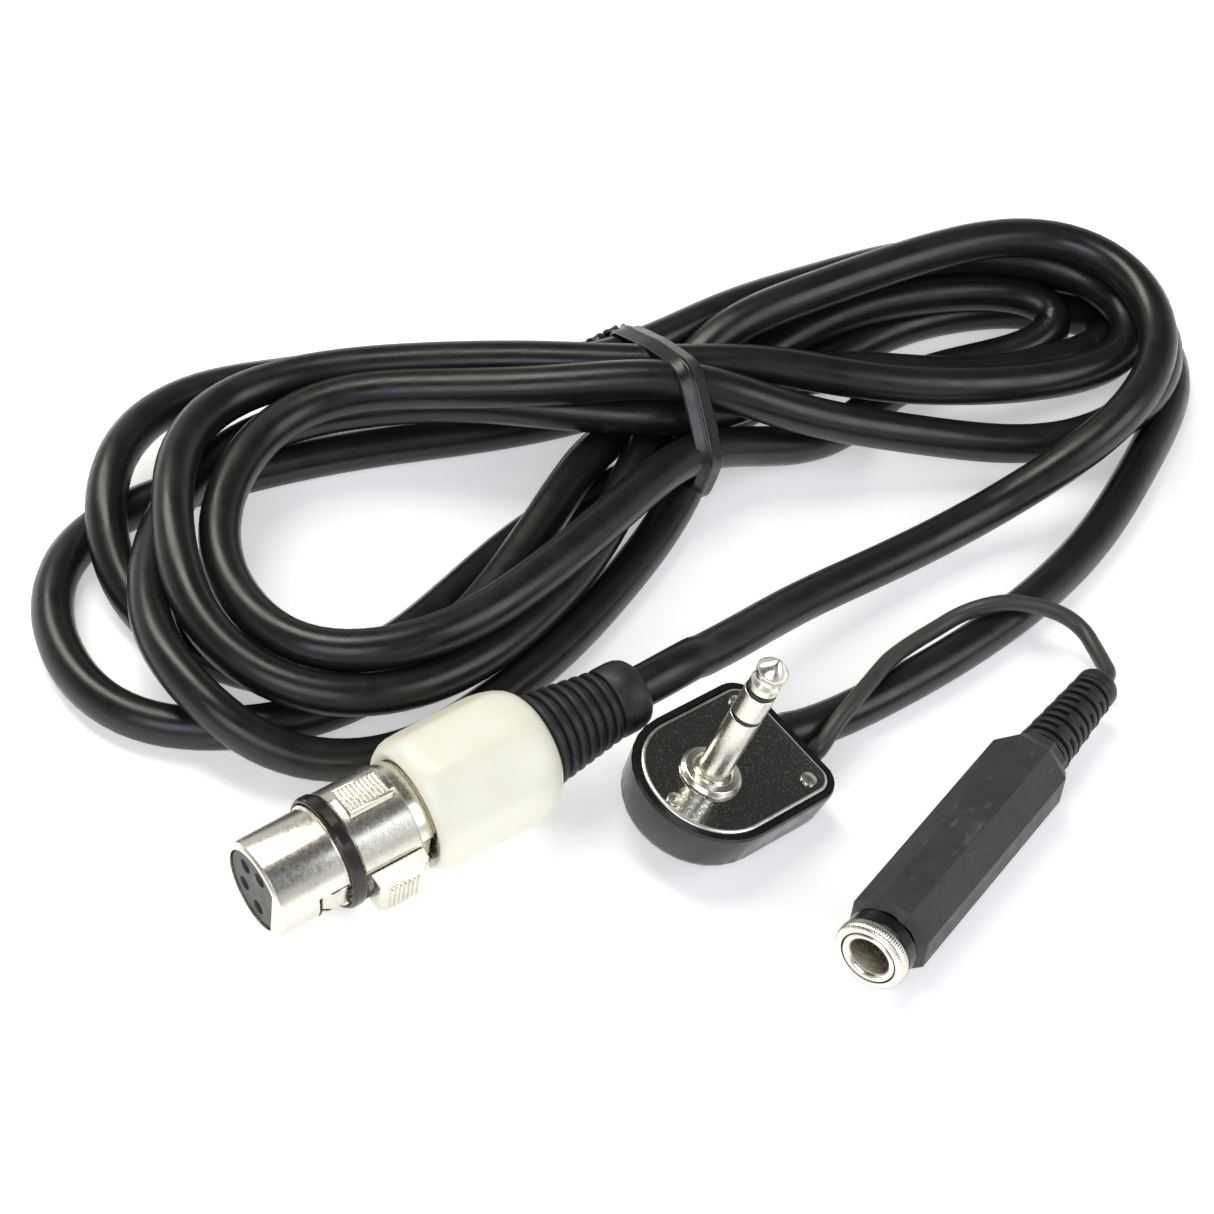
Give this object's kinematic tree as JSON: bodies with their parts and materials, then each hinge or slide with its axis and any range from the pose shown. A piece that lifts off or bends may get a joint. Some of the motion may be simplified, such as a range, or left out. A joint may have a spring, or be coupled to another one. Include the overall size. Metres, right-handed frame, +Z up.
{
  "type": "coiled audio adapter cable",
  "caption": "Long round audio cable tied in a loose hank, from an XLR connector with a latch to a flat right-angle phone plug with a thin branch cable and in-line jack socket.",
  "frame": {"origin": "on the floor, under the middle of the box that holds the connectors and the tie", "axes": "+Z up from the floor; -Y the way the in-line socket's mouth faces; +X to the right of that socket seen from above with its mouth towards the viewer"},
  "size_m": [0.1667, 0.2129, 0.0401],
  "materials": {
    "nickel": "bright nickel plate",
    "brass": "plain brass",
    "cream_plastic": "semi-matt cream plastic with moulding texture",
    "black_plastic": "satin to glossy black plastic",
    "matte_black_plastic": "matt black plastic with fine scuffs",
    "grey_plastic": "dark grey plastic",
    "black_rubber": "satin black rubber",
    "cable_jacket": "satin black cable jacket, slightly dusty",
    "branch_jacket": "satin dark olive-grey cable jacket",
    "tie_plastic": "glossy black plastic strip",
    "phenolic": "brown phenolic board"
  },
  "bodies": {
    "cable_assembly": {"branch_cable": "branch_jacket", "cable_hank": "cable_jacket", "cable_plug_lead": "cable_jacket", "cable_xlr_lead": "cable_jacket", "plug_branch_end": "branch_jacket", "plug_cable_end": "cable_jacket", "plug_cable_strap": "nickel", "plug_cup": "black_plastic", "plug_plate": "nickel", "plug_ring": "nickel", "plug_ring_insulator": "black_plastic", "plug_ring_lug": "brass", "plug_rivet_1": "nickel", "plug_rivet_2": "nickel", "plug_rivet_3": "nickel", "plug_sleeve": "nickel", "plug_sleeve_lug": "brass", "plug_tip": "nickel", "plug_tip_insulator": "black_plastic", "plug_tip_lug": "brass", "socket_barrel": "matte_black_plastic", "socket_boot": "black_rubber", "socket_branch_end": "branch_jacket", "socket_bush": "nickel", "socket_cable_clamp": "nickel", "socket_collar": "black_plastic", "socket_nut": "nickel", "socket_spring_block": "phenolic", "tie_strip": "tie_plastic", "tie_twist": "tie_plastic", "xlr_boot": "black_rubber", "xlr_cable_end": "cable_jacket", "xlr_clamp": "black_plastic", "xlr_coding_ring": "black_plastic", "xlr_contact_1": "brass", "xlr_contact_2": "brass", "xlr_contact_3": "brass", "xlr_contact_4": "brass", "xlr_core_1": "branch_jacket", "xlr_core_2": "branch_jacket", "xlr_core_3": "branch_jacket", "xlr_core_4": "branch_jacket", "xlr_cover": "cream_plastic", "xlr_insert": "grey_plastic", "xlr_latch_spring": "nickel", "xlr_shell": "nickel"},
    "latch": {"xlr_latch": "nickel"},
    "ring_spring": {"socket_ring_spring": "brass"},
    "tip_spring": {"socket_tip_spring": "brass"}
  },
  "joints": [
    {"name": "latch_hinge", "type": "hinge", "parent": "cable_assembly", "child": "latch", "pos_m": [-0.01367, -0.04515, 0.01011], "axis": [-0.097, 0.1389, -0.9855], "range_deg": [0, 3], "stiffness_Nm_per_rad": 0.4},
    {"name": "ring_spring_hinge", "type": "hinge", "parent": "cable_assembly", "child": "ring_spring", "pos_m": [0.0501, -0.0032, 0.00195], "axis": [-1, 0, 0], "range_deg": [0, 2.5], "stiffness_Nm_per_rad": 0.2},
    {"name": "tip_spring_hinge", "type": "hinge", "parent": "cable_assembly", "child": "tip_spring", "pos_m": [0.0501, -0.0032, 0.01135], "axis": [1, 0, 0], "range_deg": [0, 2.5], "stiffness_Nm_per_rad": 0.2}
  ]
}
